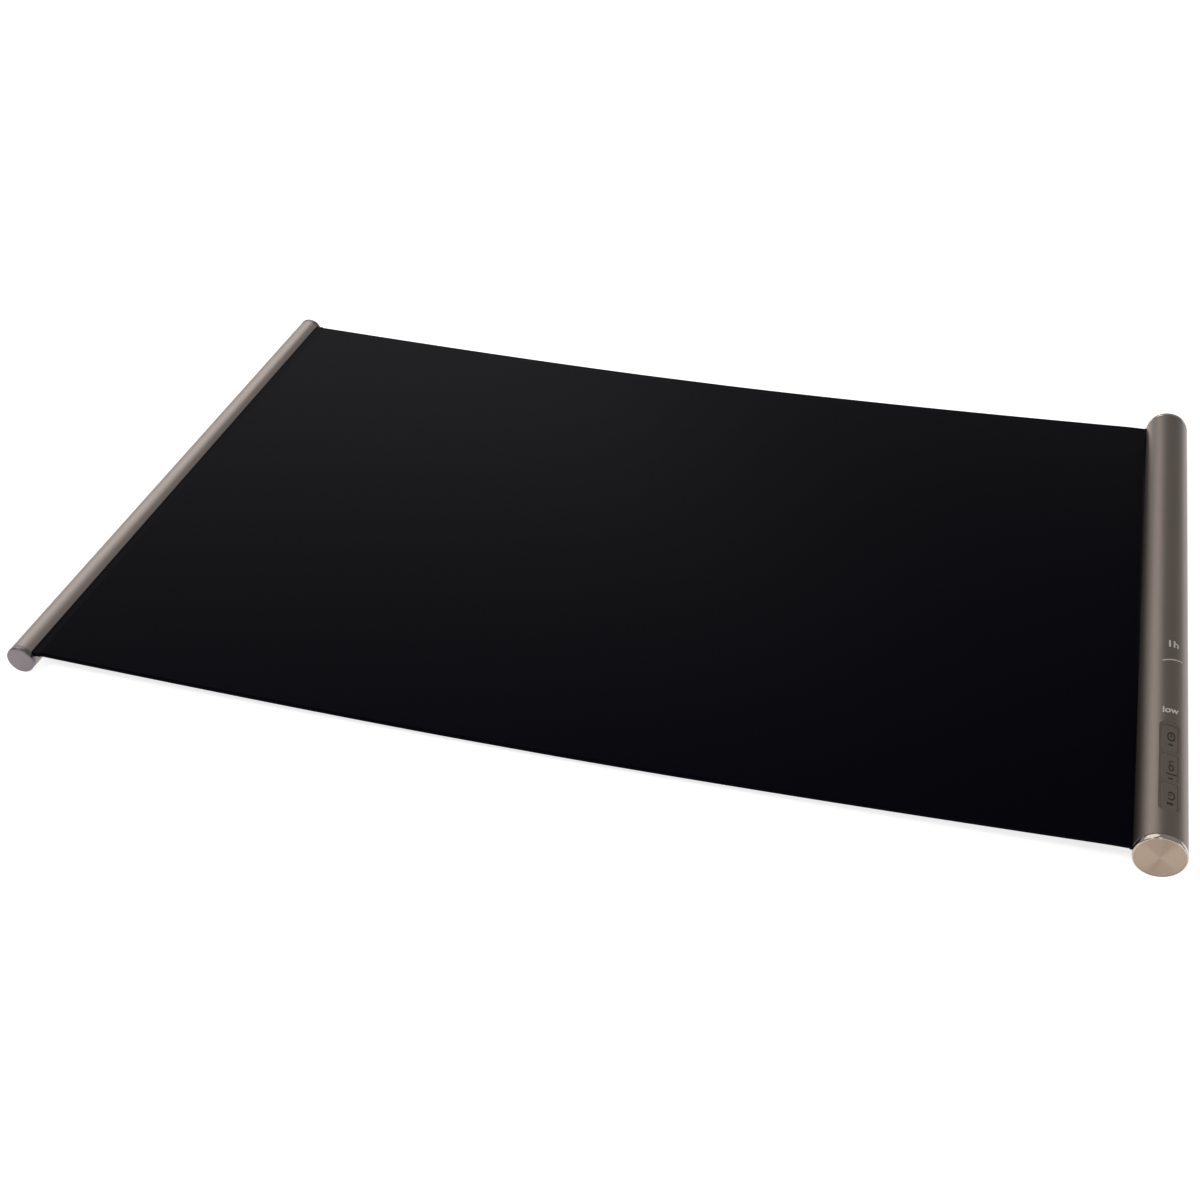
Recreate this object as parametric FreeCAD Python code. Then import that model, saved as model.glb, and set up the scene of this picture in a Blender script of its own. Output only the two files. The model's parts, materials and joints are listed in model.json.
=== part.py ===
import FreeCAD, Part
import os
from math import atan2, degrees, sqrt

# Flexible roll-up food warming mat between two steel tubes, in millimetres.
# X runs from the slim grip tube to the control tube, Y from the user to the back, Z up.
# Pieces are drawn with X measured from midway between the two tubes' axes, and leave with the
# origin on the table, at the middle of the whole object. What stands inside the control tube is
# drawn round that tube's axis, with the keys facing straight up, and is then tilted into place.

os.makedirs("parts", exist_ok=True)
V = FreeCAD.Vector
ALONG_TUBES = V(0, 1, 0)

# Driving dimensions
TUBE_SPACING = 600.0
TUBE_LENGTH = 400.0
CAP_DEPTH = 3.2
CONTROL_RADIUS = 12.7
CONTROL_WALL = 0.9
GRIP_RADIUS = 8.0
GRIP_WALL = 0.8
MAT_THICKNESS = 2.5
MAT_DEPTH = 393.0

# Mat: how it hangs between the tubes, and the strips that it bends along
MAT_RIGHT_X = 277.0
MAT_LEFT_X = -289.0
MAT_LEVEL_X = -16.333
MAT_LEVEL_HALF = 20.7
MAT_LOW_Z = 4.5
MAT_RIGHT_Z = 11.45
MAT_LEFT_Z = 10.1
MAT_CURVE_POWER = 1.6
MOVING_STRIPS = 14
FIRST_STRIP = 46.0
STRIP_TAPER = 16.0
BEND_RELIEF = 0.06
HEM_RELIEF_TOP = 0.12
HEM_RELIEF_UNDER = 0.2
EDGE_ROUND = 0.8

# Hems: a bead round a rod, caught inside each slotted tube
CONTROL_BEAD_X = 293.0
CONTROL_BEAD_RADIUS = 3.2
CONTROL_ROD_RADIUS = 1.5
CONTROL_BEAD_BACK = 178.0
CONTROL_WEB_END_X = 289.6
GRIP_BEAD_X = -298.3
GRIP_BEAD_Z = 10.3
GRIP_BEAD_RADIUS = 2.6
GRIP_ROD_RADIUS = 1.0
WEB_OVERLAP = 0.5
SLOT_CLEARANCE = 0.2
ROD_CLEARANCE = 0.05

# Heating foil, sealed in the middle of the silicone
FOIL_THICKNESS = 0.3
FOIL_WIDTH = 3.0
FOIL_REACH = 172.0
RETURN_Y = 184.0
FOIL_RUNS = 4

# Control face: three keys in a recess near the front end, tilted a little outwards
FACE_TILT = 10.0
RECESS_Y = -147.0
RECESS_LENGTH = 66.0
RECESS_WIDTH = 10.6
RECESS_CORNER = 3.0
FLOOR_Z = 11.1
TRAY_UNDER = 9.0
FLANGE_THICKNESS = 0.6
FLANGE_OVER_LENGTH = 4.0
FLANGE_WIDTH = 13.2
TRAY_LEG_RADIUS = 1.4
TRAY_LEG_INSET = 0.2
KEY_PITCH = 21.5
KEY_LENGTH = 19.0
KEY_WIDTH = 8.2
KEY_CORNER = 1.8
KEY_EDGE = 0.3
KEY_PROUD = 0.15
KEY_CAP_UNDER = 8.5
KEY_GAP = 0.2
SKIRT_OVERHANG = 0.8
SKIRT_Z = (8.1, 8.9)
STEM_RADIUS = 1.2
STEM_Z = (6.9, 8.3)
FIT_GAP = 0.1
THROUGH = 1.0

# Circuit, measured from the control tube's axis: each range is along X, Y or Z
BOARD_TOP = 5.4
BOARD_THICKNESS = 1.2
BOARD_UNDER = BOARD_TOP - BOARD_THICKNESS
BOARD_X = (-6.5, 8.0)
BOARD_Y = (-186.0, -20.0)
SWITCH_HALF = 3.0
SWITCH_TOP = 7.2
SWITCH_BORE = 1.6
DOME_FLOOR = 6.0
DOME_FOOT_RADIUS = 1.5
DOME_TOP_RADIUS = 1.1
DOME_HEIGHT = 0.35
CHIP_X, CHIP_Y, CHIP_HEIGHT = (-3.5, 3.5), (-92.0, -82.0), 1.4
RELAY_X, RELAY_Y, RELAY_DEPTH, RELAY_EDGE = (-3.0, 6.6), (-70.0, -50.0), 10.0, 0.6
CAPACITOR_X, CAPACITOR_Y, CAPACITOR_DEPTH, CAPACITOR_EDGE = (-2.6, 6.4), (-112.0, -97.0), 9.0, 1.0
FUSE_X, FUSE_Y, FUSE_RADIUS = 3.0, (-146.0, -126.0), 2.4
FUSE_CAP_RADIUS, FUSE_CAP_LENGTH, FUSE_CAP_OVER = 2.6, 5.0, 2.0
CUTOUT_X, CUTOUT_Y, CUTOUT_RADIUS = 3.0, (-176.0, -164.0), 1.9
CUTOUT_TIP_RADIUS, CUTOUT_TIP_LENGTH = 0.6, 2.5
TERMINAL_X, TERMINAL_Y, TERMINAL_DEPTH = (-0.8, 6.7), (-32.0, -21.0), 8.0
LEAD_X, LEAD_Y, LEAD_DROP = (1.2, 4.8), (-28.0, 179.0), 5.0
LEAD_RADIUS = 1.1
LEAD_HOLE_RADIUS = 1.15
LAMP_PLACES = (-108.0, -103.0, -98.0, -52.0, -46.5, -41.0)
LAMP_HALF_WIDTH, LAMP_HALF_LENGTH, LAMP_HEIGHT = 1.0, 0.8, 0.9
HEATER_LEAD_Y = (-44.0, -38.0)
HEATER_LEAD_RADIUS = 0.7
HEATER_LEAD_TURN_X = -1.2
HEATER_LEAD_TOP_GAP = 0.02

# Light guide and board cradle
GUIDE_HALF_WIDTH = 4.8
GUIDE_Y = (-112.0, -36.0)
GUIDE_Z = (7.6, 10.4)
GUIDE_EDGE = 0.8
GUIDE_LEG = 1.6
GUIDE_LEG_TOP = 8.0
CRADLE_WALL = 1.3
CRADLE_Y = (-185.0, -17.0)
CRADLE_X = (4.0, 13.0)
CRADLE_Z = (-11.0, 6.7)
RAIL_GRIP = 1.2
RIGHT_RAIL_END_X = 10.2
LEFT_RAIL_END_X = -9.3
LEFT_RAIL_LIP = 0.3
BULKHEAD = 2.5
BULKHEAD_RISE = 3.0
BOARD_ROOM = 0.05

# Caps, inlet and screws at the tubes' ends
CAP_EDGE = 0.6
CAP_GAP_DEPTH = 0.45
CAP_GAP_WIDTH = 0.35
CAP_GAP_BEVEL = 0.15
CAP_RADIUS = 12.7
PLUG_DEPTH = 9.0
PLUG_NECK_RADIUS = 7.0
PLUG_NECK_GAP = 0.2
DISC_RADIUS = 12.1
DISC_POCKET = 1.5
DISC_PROUD = 0.1
DISC_EDGE = 0.2
BEAD_ROOM = 0.3
BACK_BORE = 11.2
INLET_FACE_RADIUS = 11.1
INLET_FACE_SINK = 0.4
INLET_HALF_WIDTH = 4.5
INLET_HALF_LENGTH = 8.6
INLET_DEPTH = 13.0
INLET_FLOOR = 3.0
PIN_X = 4.3
PIN_RADIUS = 1.2
PIN_TAIL = 4.0
PIN_SINK = 4.0
PIN_TIP = 0.5
GRIP_PLUG_DEPTH = 6.0
GRIP_BEAD_ROOM = 0.25
GRIP_SLOT_X = (4.9, 9.0)
CONTROL_SLOT_X = (-15.0, -10.5)
SCREW_Y = 190.0
SCREW_HEAD_RADIUS = 1.9
SCREW_HEAD_Z = (-12.5, -11.4)
SCREW_SHANK_RADIUS = 1.1
SCREW_LENGTH = 5.7
SCREW_ENTRY_Z = -14.0
DRIVE_HALF_LENGTH = 1.3
DRIVE_HALF_WIDTH = 0.25
DRIVE_DEPTH = 0.5

TUBE_END = TUBE_LENGTH / 2 - CAP_DEPTH
TO_CENTRE = -(CONTROL_RADIUS - GRIP_RADIUS) / 2
CONTROL_X = TUBE_SPACING / 2
CONTROL_Z = CONTROL_RADIUS
CONTROL_BORE = CONTROL_RADIUS - CONTROL_WALL
GRIP_X = -TUBE_SPACING / 2
GRIP_Z = GRIP_RADIUS
GRIP_BORE = GRIP_RADIUS - GRIP_WALL
SLOT_REACH = MAT_THICKNESS / 2 + SLOT_CLEARANCE
KEY_PLACES = {
    "power": RECESS_Y - KEY_PITCH,
    "heat": RECESS_Y,
    "timer": RECESS_Y + KEY_PITCH,
}


def export(name, shape):
    """Writes one piece, after printing whether it is sound."""
    solids = shape.Solids
    whole = shape.copy() if len(solids) != 1 else solids[0].copy()
    whole.translate(V(TO_CENTRE, 0, 0))
    print(f"{name:24s} solids {len(solids)} volume {shape.Volume:10.1f} valid {shape.isValid()}")
    whole.exportStep(f"parts/{name}.step")


def box(x, y, z):
    """A block over three ranges."""
    return Part.makeBox(x[1] - x[0], y[1] - y[0], z[1] - z[0], V(x[0], y[0], z[0]))


def rod(radius, y0, y1, x=0.0, z=0.0):
    """A cylinder that runs along the tubes."""
    return Part.makeCylinder(radius, y1 - y0, V(x, y0, z), ALONG_TUBES)


def post(radius, z0, z1, x, y):
    """An upright cylinder."""
    return Part.makeCylinder(radius, z1 - z0, V(x, y, z0), V(0, 0, 1))


def prism(points, y0, y1):
    """A polygon given in X and Z, drawn out along the tubes."""
    corners = [V(x, y0, z) for x, z in points]
    face = Part.Face(Part.makePolygon(corners + corners[:1]))
    return face.extrude(V(0, y1 - y0, 0))


def rounded_block(length, width, corner, y, z):
    """An upright block, long in Y, with its four upright corners rounded."""
    block = box((-width / 2, width / 2), (y - length / 2, y + length / 2), z)
    upright = [e for e in block.Edges if abs(e.Vertexes[0].Z - e.Vertexes[1].Z) > (z[1] - z[0]) / 2]
    return block.makeFillet(corner, upright)


def join(shapes):
    """Several overlapping solids as one."""
    whole = shapes[0]
    for shape in shapes[1:]:
        whole = whole.fuse(shape)
    return whole.removeSplitter()


def to_control(shape, tilt=FACE_TILT):
    """Moves a piece drawn round the control tube's axis, face up, to its place."""
    moved = shape.copy()
    moved.rotate(V(0, 0, 0), ALONG_TUBES, tilt)
    moved.translate(V(CONTROL_X, 0, CONTROL_Z))
    return moved


def cap_ring(radius, bore, outer_y, inner_y):
    """A turned collar with an eased front edge and a fine gap line at its foot."""
    way = 1.0 if inner_y > outer_y else -1.0
    neck = radius - CAP_GAP_DEPTH
    profile = [
        (bore, outer_y),
        (radius - CAP_EDGE, outer_y),
        (radius, outer_y + way * CAP_EDGE),
        (radius, inner_y - way * (CAP_GAP_WIDTH + CAP_GAP_BEVEL)),
        (neck, inner_y - way * CAP_GAP_WIDTH),
        (neck, inner_y),
        (bore, inner_y),
    ]
    corners = [V(x, y, 0) for x, y in profile]
    face = Part.Face(Part.makePolygon(corners + corners[:1]))
    return face.revolve(V(0, 0, 0), ALONG_TUBES, 360)


def mat_underside(x):
    """Height of the mat's underside over the table: a shallow hanging curve, level in its middle."""
    if x > MAT_LEVEL_X:
        start, end, rise = MAT_LEVEL_X + MAT_LEVEL_HALF, MAT_RIGHT_X, MAT_RIGHT_Z - MAT_LOW_Z
    else:
        start, end, rise = MAT_LEVEL_X - MAT_LEVEL_HALF, MAT_LEFT_X, MAT_LEFT_Z - MAT_LOW_Z
    share = max(0.0, (x - start) / (end - start))
    return MAT_LOW_Z + rise * share**MAT_CURVE_POWER


def strip_edges():
    """Where the top face bends, from the control tube to the grip tube, as (x, z)."""
    rest = MOVING_STRIPS - 1
    mean = (MAT_RIGHT_X - MAT_LEFT_X - FIRST_STRIP) / rest
    lengths = [FIRST_STRIP]
    for i in range(rest):
        lengths.append(mean + STRIP_TAPER * (0.5 - i / (rest - 1)))
    xs = [MAT_RIGHT_X]
    for length in lengths:
        xs.append(xs[-1] - length)
    return [(x, mat_underside(x) + MAT_THICKNESS) for x in xs]


def on_strip(shape, start, end):
    """Lays a piece drawn flat, leftwards from the origin, along one strip's top face."""
    slope = degrees(atan2(end[1] - start[1], start[0] - end[0]))
    moved = shape.copy()
    moved.rotate(V(0, 0, 0), ALONG_TUBES, slope)
    moved.translate(V(start[0], 0, start[1]))
    return moved


def strip_length(start, end):
    """Length of one strip along its slope."""
    return sqrt((start[0] - end[0]) ** 2 + (start[1] - end[1]) ** 2)


def track(x, y):
    """One straight stretch of foil, at mid-thickness of the mat."""
    top = -(MAT_THICKNESS - FOIL_THICKNESS) / 2
    return box(x, y, (top - FOIL_THICKNESS, top))


def foil(length, turns_back):
    """One strip's share of the heating foil: runs back and forth, and the return track."""
    pitch = length / FOIL_RUNS
    runs = []
    for i in range(FOIL_RUNS):
        middle = -pitch * (i + 0.5)
        runs.append(track((middle - FOIL_WIDTH / 2, middle + FOIL_WIDTH / 2), (-FOIL_REACH, FOIL_REACH)))
    links = []
    for i in range(FOIL_RUNS + 1):
        first = 0.0 if i == 0 else -pitch * (i - 0.5)
        last = -length if i == FOIL_RUNS else -pitch * (i + 0.5)
        side = -FOIL_REACH if i % 2 == 0 else FOIL_REACH - FOIL_WIDTH
        links.append(track((last, first), (side, side + FOIL_WIDTH)))
    if turns_back:
        # the last strip turns the track round into the return instead of passing it on
        turn_x = -length + pitch / 2
        turn = track((turn_x, turn_x + FOIL_WIDTH), (FOIL_REACH - FOIL_WIDTH, RETURN_Y))
        back = track((turn_x, 0), (RETURN_Y - FOIL_WIDTH, RETURN_Y))
        return join(runs[:-1] + links[:-1] + [turn, back])
    back = track((-length, 0), (RETURN_Y - FOIL_WIDTH, RETURN_Y))
    return Part.makeCompound([join(runs + links), back])


def lead_tracks(length):
    """The plain strip beside the control tube holds only the two feed tracks."""
    feed = track((-length, 0), (-FOIL_REACH, -FOIL_REACH + FOIL_WIDTH))
    back = track((-length, 0), (RETURN_Y - FOIL_WIDTH, RETURN_Y))
    return Part.makeCompound([feed, back])


def silicone(length, first):
    """One strip of the mat, bevelled a hair under its bend lines, with soft front and back edges."""
    top = -HEM_RELIEF_TOP if first else 0.0
    under = -HEM_RELIEF_UNDER if first else -BEND_RELIEF
    outline = [
        (top, 0),
        (-length, 0),
        (-length + BEND_RELIEF, -MAT_THICKNESS),
        (under, -MAT_THICKNESS),
    ]
    strip = prism(outline, -MAT_DEPTH / 2, MAT_DEPTH / 2)
    long_edges = [e for e in strip.Edges if abs(e.Vertexes[0].X - e.Vertexes[1].X) > length / 2]
    return strip.makeFillet(EDGE_ROUND, long_edges)


def mat_strips(edges):
    """The mat's strips, each with its share of the foil. The last one carries the grip tube's hem."""
    for i in range(MOVING_STRIPS):
        start, end = edges[i], edges[i + 1]
        length = strip_length(start, end)
        strip = silicone(length, i == 0)
        number = f"{i + 1:02d}"
        last = i == MOVING_STRIPS - 1
        if not last:
            element = lead_tracks(length) if i == 0 else foil(length, i == MOVING_STRIPS - 2)
            element = element.common(strip)
            strip = strip.cut(element)
            export(f"heating_foil_{number}", on_strip(element, start, end))
        laid = on_strip(strip, start, end)
        export(f"mat_strip_{number}", grip_hem(laid) if last else laid)


def grip_hem(strip):
    """Adds the bead that the grip tube holds to the mat's last strip."""
    half = MAT_DEPTH / 2
    level = (MAT_LEFT_Z, MAT_LEFT_Z + MAT_THICKNESS)
    web = box((GRIP_BEAD_X, MAT_LEFT_X + WEB_OVERLAP), (-half, half), level)
    bead = rod(GRIP_BEAD_RADIUS, -half, half, GRIP_BEAD_X, GRIP_BEAD_Z)
    return join([strip, web, bead]).cut(
        rod(GRIP_ROD_RADIUS + ROD_CLEARANCE, -half, half, GRIP_BEAD_X, GRIP_BEAD_Z)
    )


def control_hem():
    """The hem inside the control tube. Its bead stops short of the inlet, past which only a lip enters."""
    half = MAT_DEPTH / 2
    back = CONTROL_BEAD_BACK
    level = (MAT_RIGHT_Z, MAT_RIGHT_Z + MAT_THICKNESS)
    web = box((MAT_RIGHT_X, CONTROL_BEAD_X), (-half, back), level)
    lip = box((MAT_RIGHT_X, CONTROL_WEB_END_X), (-half, half), level)
    bead = rod(CONTROL_BEAD_RADIUS, -half, back, CONTROL_BEAD_X, CONTROL_Z)
    bore = rod(CONTROL_ROD_RADIUS + ROD_CLEARANCE, -half, back, CONTROL_BEAD_X, CONTROL_Z)
    export("mat_hem_control", join([web, lip, bead]).cut(bore))
    export("hem_rod_control", rod(CONTROL_ROD_RADIUS, -half, back, CONTROL_BEAD_X, CONTROL_Z))
    export("hem_rod_grip", rod(GRIP_ROD_RADIUS, -half, half, GRIP_BEAD_X, GRIP_BEAD_Z))


def control_tube():
    """Steel tube with a full-length slot for the mat, a window for the keys and two screw holes."""
    ends = (-TUBE_END, TUBE_END)
    tube = rod(CONTROL_RADIUS, *ends).cut(rod(CONTROL_BORE, *ends))
    window_z = (0, CONTROL_RADIUS + THROUGH)
    window = rounded_block(RECESS_LENGTH, RECESS_WIDTH, RECESS_CORNER, RECESS_Y, window_z)
    window.rotate(V(0, 0, 0), ALONG_TUBES, FACE_TILT)
    slot = box(CONTROL_SLOT_X, ends, (-SLOT_REACH, SLOT_REACH))
    tube = tube.cut(window).cut(slot)
    for y in (-SCREW_Y, SCREW_Y):
        tube = tube.cut(post(SCREW_HEAD_RADIUS + FIT_GAP, SCREW_ENTRY_Z, -CONTROL_BORE / 2, 0, y))
    export("control_tube", to_control(tube, 0))


def key_tray():
    """Moulded insert that floors the recess, with a well for each key and two legs."""
    length = RECESS_LENGTH - 2 * FIT_GAP
    width = RECESS_WIDTH - 2 * FIT_GAP
    body = rounded_block(length, width, RECESS_CORNER - FIT_GAP, RECESS_Y, (TRAY_UNDER, FLOOR_Z))
    flange_length = RECESS_LENGTH + FLANGE_OVER_LENGTH
    flange_z = (TRAY_UNDER, TRAY_UNDER + FLANGE_THICKNESS)
    tray = body.fuse(rounded_block(flange_length, FLANGE_WIDTH, RECESS_CORNER, RECESS_Y, flange_z))
    well_length, well_width = KEY_LENGTH + 2 * KEY_GAP, KEY_WIDTH + 2 * KEY_GAP
    well_z = (TRAY_UNDER - THROUGH, FLOOR_Z + THROUGH)
    for y in KEY_PLACES.values():
        tray = tray.cut(rounded_block(well_length, well_width, KEY_CORNER + KEY_GAP, y, well_z))
    for way in (-1, 1):
        y = RECESS_Y + way * (RECESS_LENGTH / 2 + TRAY_LEG_INSET)
        tray = tray.fuse(post(TRAY_LEG_RADIUS, BOARD_TOP, TRAY_UNDER + TRAY_LEG_INSET, 0, y))
    export("key_tray", to_control(tray.removeSplitter()))


def keys():
    """Three keys, a hair over the recess floor, each with a retaining skirt and a stem to its switch."""
    skirt_length, skirt_width = KEY_LENGTH + 2 * SKIRT_OVERHANG, KEY_WIDTH + 2 * SKIRT_OVERHANG
    for name, y in KEY_PLACES.items():
        cap = rounded_block(KEY_LENGTH, KEY_WIDTH, KEY_CORNER, y, (KEY_CAP_UNDER, FLOOR_Z + KEY_PROUD))
        cap = cap.makeChamfer(KEY_EDGE, [e for e in cap.Edges if e.BoundBox.ZMin > FLOOR_Z])
        skirt = rounded_block(skirt_length, skirt_width, KEY_CORNER, y, SKIRT_Z)
        stem = post(STEM_RADIUS, *STEM_Z, 0, y)
        export(f"key_{name}", to_control(join([cap, skirt, stem])))


def moulded_block(x, y, depth, edge):
    """A moulded component under the board, with its far edges eased."""
    block = box(x, y, (BOARD_UNDER - depth, BOARD_UNDER))
    far_edges = [e for e in block.Edges if e.BoundBox.ZMax < BOARD_UNDER - depth / 2]
    return to_control(block.makeChamfer(edge, far_edges))


def switches():
    """A tact switch and its snap dome under each key."""
    bodies = []
    domes = []
    for y in KEY_PLACES.values():
        square = (-SWITCH_HALF, SWITCH_HALF)
        body = box(square, (y - SWITCH_HALF, y + SWITCH_HALF), (BOARD_TOP, SWITCH_TOP))
        bodies.append(to_control(body.cut(post(SWITCH_BORE, DOME_FLOOR, SWITCH_TOP + THROUGH, 0, y))))
        dome = Part.makeCone(DOME_FOOT_RADIUS, DOME_TOP_RADIUS, DOME_HEIGHT, V(0, y, DOME_FLOOR), V(0, 0, 1))
        domes.append(to_control(dome))
    export("tact_switches", Part.makeCompound(bodies))
    export("switch_domes", Part.makeCompound(domes))


def mains_parts():
    """Relay, capacitor, fuse and thermal cut-out, under the board."""
    export("relay", moulded_block(RELAY_X, RELAY_Y, RELAY_DEPTH, RELAY_EDGE))
    export("filter_capacitor", moulded_block(CAPACITOR_X, CAPACITOR_Y, CAPACITOR_DEPTH, CAPACITOR_EDGE))
    fuse = [rod(FUSE_RADIUS, *FUSE_Y, FUSE_X, BOARD_UNDER - FUSE_RADIUS)]
    for start in (FUSE_Y[0] - FUSE_CAP_OVER, FUSE_Y[1] + FUSE_CAP_OVER - FUSE_CAP_LENGTH):
        end = start + FUSE_CAP_LENGTH
        fuse.append(rod(FUSE_CAP_RADIUS, start, end, FUSE_X, BOARD_UNDER - FUSE_CAP_RADIUS))
    export("mains_fuse", to_control(join(fuse)))
    cutout_z = BOARD_UNDER - CUTOUT_RADIUS
    barrel = rod(CUTOUT_RADIUS, *CUTOUT_Y, CUTOUT_X, cutout_z)
    tip_start = V(CUTOUT_X, CUTOUT_Y[1], cutout_z)
    tip = Part.makeCone(CUTOUT_RADIUS, CUTOUT_TIP_RADIUS, CUTOUT_TIP_LENGTH, tip_start, ALONG_TUBES)
    export("thermal_cutout", to_control(join([barrel, tip])))


def mains_wiring():
    """Terminal block and the two mains leads that run to the inlet."""
    z = BOARD_UNDER - LEAD_DROP
    block = box(TERMINAL_X, TERMINAL_Y, (BOARD_UNDER - TERMINAL_DEPTH, BOARD_UNDER))
    for x in LEAD_X:
        block = block.cut(rod(LEAD_HOLE_RADIUS, LEAD_Y[0], TERMINAL_Y[1] + THROUGH, x, z))
    export("terminal_block", to_control(block))
    export("mains_leads", Part.makeCompound([to_control(rod(LEAD_RADIUS, *LEAD_Y, x, z)) for x in LEAD_X]))


def circuit():
    """Board and what stands on it, on the side facing the keys and on the one facing away."""
    export("main_board", to_control(box(BOARD_X, BOARD_Y, (BOARD_UNDER, BOARD_TOP))))
    export("control_chip", to_control(box(CHIP_X, CHIP_Y, (BOARD_TOP, BOARD_TOP + CHIP_HEIGHT))))
    lamps = []
    for y in LAMP_PLACES:
        width = (-LAMP_HALF_WIDTH, LAMP_HALF_WIDTH)
        length = (y - LAMP_HALF_LENGTH, y + LAMP_HALF_LENGTH)
        lamps.append(to_control(box(width, length, (BOARD_TOP, BOARD_TOP + LAMP_HEIGHT))))
    export("indicator_leds", Part.makeCompound(lamps))
    switches()
    mains_parts()
    mains_wiring()


def light_guide():
    """Clear bar under the tube wall that carries the lamps' light to the level and timer marks."""
    width = (-GUIDE_HALF_WIDTH, GUIDE_HALF_WIDTH)
    bar = box(width, GUIDE_Y, GUIDE_Z)
    top = [e for e in bar.Edges if e.BoundBox.ZMin > GUIDE_Z[1] - FIT_GAP and e.Length > GUIDE_HALF_WIDTH * 3]
    pieces = [bar.makeFillet(GUIDE_EDGE, top)]
    for y in (GUIDE_Y[0], GUIDE_Y[1] - GUIDE_LEG):
        pieces.append(box(width, (y, y + GUIDE_LEG), (BOARD_TOP, GUIDE_LEG_TOP)))
    export("light_guide", to_control(join(pieces)))


def board_carrier():
    """Moulded cradle: a curved wall and two rails that grip the board, closed at its back by a bulkhead."""
    outer = CONTROL_BORE - FIT_GAP
    round_bar = rod(outer, *CRADLE_Y)
    shell = round_bar.cut(rod(outer - CRADLE_WALL, *CRADLE_Y))
    rail_top = BOARD_TOP + RAIL_GRIP
    right_x = (BOARD_X[1] - RAIL_GRIP, RIGHT_RAIL_END_X)
    left_x = (LEFT_RAIL_END_X, BOARD_X[0] + RAIL_GRIP)
    left_foot = BOARD_UNDER - LEFT_RAIL_LIP
    right_rail = box(right_x, CRADLE_Y, (BOARD_UNDER - RAIL_GRIP, rail_top))
    left_rail = box(left_x, CRADLE_Y, (left_foot, rail_top))
    back = (CRADLE_Y[1] - BULKHEAD, CRADLE_Y[1])
    plate = box((LEFT_RAIL_END_X, outer), back, (left_foot, BOARD_TOP + BULKHEAD_RISE))
    pieces = [shell.common(box(CRADLE_X, CRADLE_Y, CRADLE_Z))]
    pieces += [piece.common(round_bar) for piece in (right_rail, left_rail, plate)]
    room_x = (BOARD_X[0] - BOARD_ROOM, BOARD_X[1] + BOARD_ROOM)
    room_y = (BOARD_Y[0] - THROUGH, BOARD_Y[1] + BOARD_ROOM)
    cradle = join(pieces).cut(box(room_x, room_y, (BOARD_UNDER, BOARD_TOP)))
    export("board_carrier", to_control(cradle))


def screw_room(shape, y):
    """Cuts the hole for an end screw's head and shank."""
    head = post(SCREW_HEAD_RADIUS + FIT_GAP, SCREW_ENTRY_Z, SCREW_HEAD_Z[1], 0, y)
    shank = post(SCREW_SHANK_RADIUS, SCREW_ENTRY_Z, SCREW_HEAD_Z[1] + SCREW_LENGTH - FIT_GAP, 0, y)
    return shape.cut(shank).cut(head)


def control_caps():
    """Front cap: plug, polished collar and spun disc. Back cap: collar round the mains inlet."""
    front = -TUBE_LENGTH / 2
    inner = -TUBE_END + PLUG_DEPTH
    room = CONTROL_BEAD_RADIUS + BEAD_ROOM
    bead_x = CONTROL_BEAD_X - CONTROL_X
    channel = box((-CONTROL_RADIUS, bead_x), (-TUBE_END, inner), (-room, room))
    channel = channel.fuse(rod(room, -TUBE_END, inner, bead_x, 0))
    plug = rod(CONTROL_BORE - FIT_GAP, -TUBE_END, inner).cut(channel)
    neck = rod(PLUG_NECK_RADIUS, front + DISC_POCKET + PLUG_NECK_GAP, -TUBE_END)
    export("front_plug", to_control(screw_room(join([plug, neck]), -SCREW_Y), 0))
    ring = cap_ring(CAP_RADIUS, PLUG_NECK_RADIUS, front, -TUBE_END)
    pocket = rod(DISC_RADIUS, front - THROUGH, front + DISC_POCKET)
    export("front_cap_ring", to_control(ring.cut(pocket), 0))
    disc = rod(DISC_RADIUS, front + DISC_PROUD, front + DISC_POCKET)
    rim = [e for e in disc.Edges if e.BoundBox.YMax < front + DISC_POCKET / 2 and e.Length > DISC_RADIUS]
    export("front_cap_disc", to_control(disc.makeChamfer(DISC_EDGE, rim), 0))
    back = TUBE_LENGTH / 2
    export("back_cap_ring", to_control(cap_ring(CAP_RADIUS, BACK_BORE, back, TUBE_END), 0))


def stadium(half_length, half_width, y0, y1):
    """A slot shape with round ends, lying across the tube."""
    straight = half_length - half_width
    middle = box((-straight, straight), (y0, y1), (-half_width, half_width))
    return join([middle, rod(half_width, y0, y1, -straight, 0), rod(half_width, y0, y1, straight, 0)])


def mains_inlet():
    """Figure-eight appliance inlet in the back end of the control tube, with its two pins."""
    back = TUBE_LENGTH / 2
    core_front = back - INLET_DEPTH - INLET_FLOOR
    face = rod(INLET_FACE_RADIUS, TUBE_END, back - INLET_FACE_SINK)
    lip_x = CONTROL_WEB_END_X - CONTROL_X + SLOT_CLEARANCE
    lip_room = box((-CONTROL_RADIUS, lip_x), (core_front, TUBE_END), (-SLOT_REACH, SLOT_REACH))
    core = rod(CONTROL_BORE - FIT_GAP, core_front, TUBE_END).cut(lip_room)
    body = join([face, core])
    body = body.cut(stadium(INLET_HALF_LENGTH, INLET_HALF_WIDTH, back - INLET_DEPTH, back + THROUGH))
    pins = []
    for x in (-PIN_X, PIN_X):
        pin = rod(PIN_RADIUS, core_front - PIN_TAIL, back - PIN_SINK, x, 0)
        tip = [e for e in pin.Edges if e.BoundBox.YMin > back - PIN_SINK - PIN_TIP]
        pins.append(pin.makeChamfer(PIN_TIP, tip))
        body = body.cut(pins[-1])
    export("inlet_socket", to_control(screw_room(body, SCREW_Y), 0))
    export("inlet_pins", to_control(Part.makeCompound(pins), 0))


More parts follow.
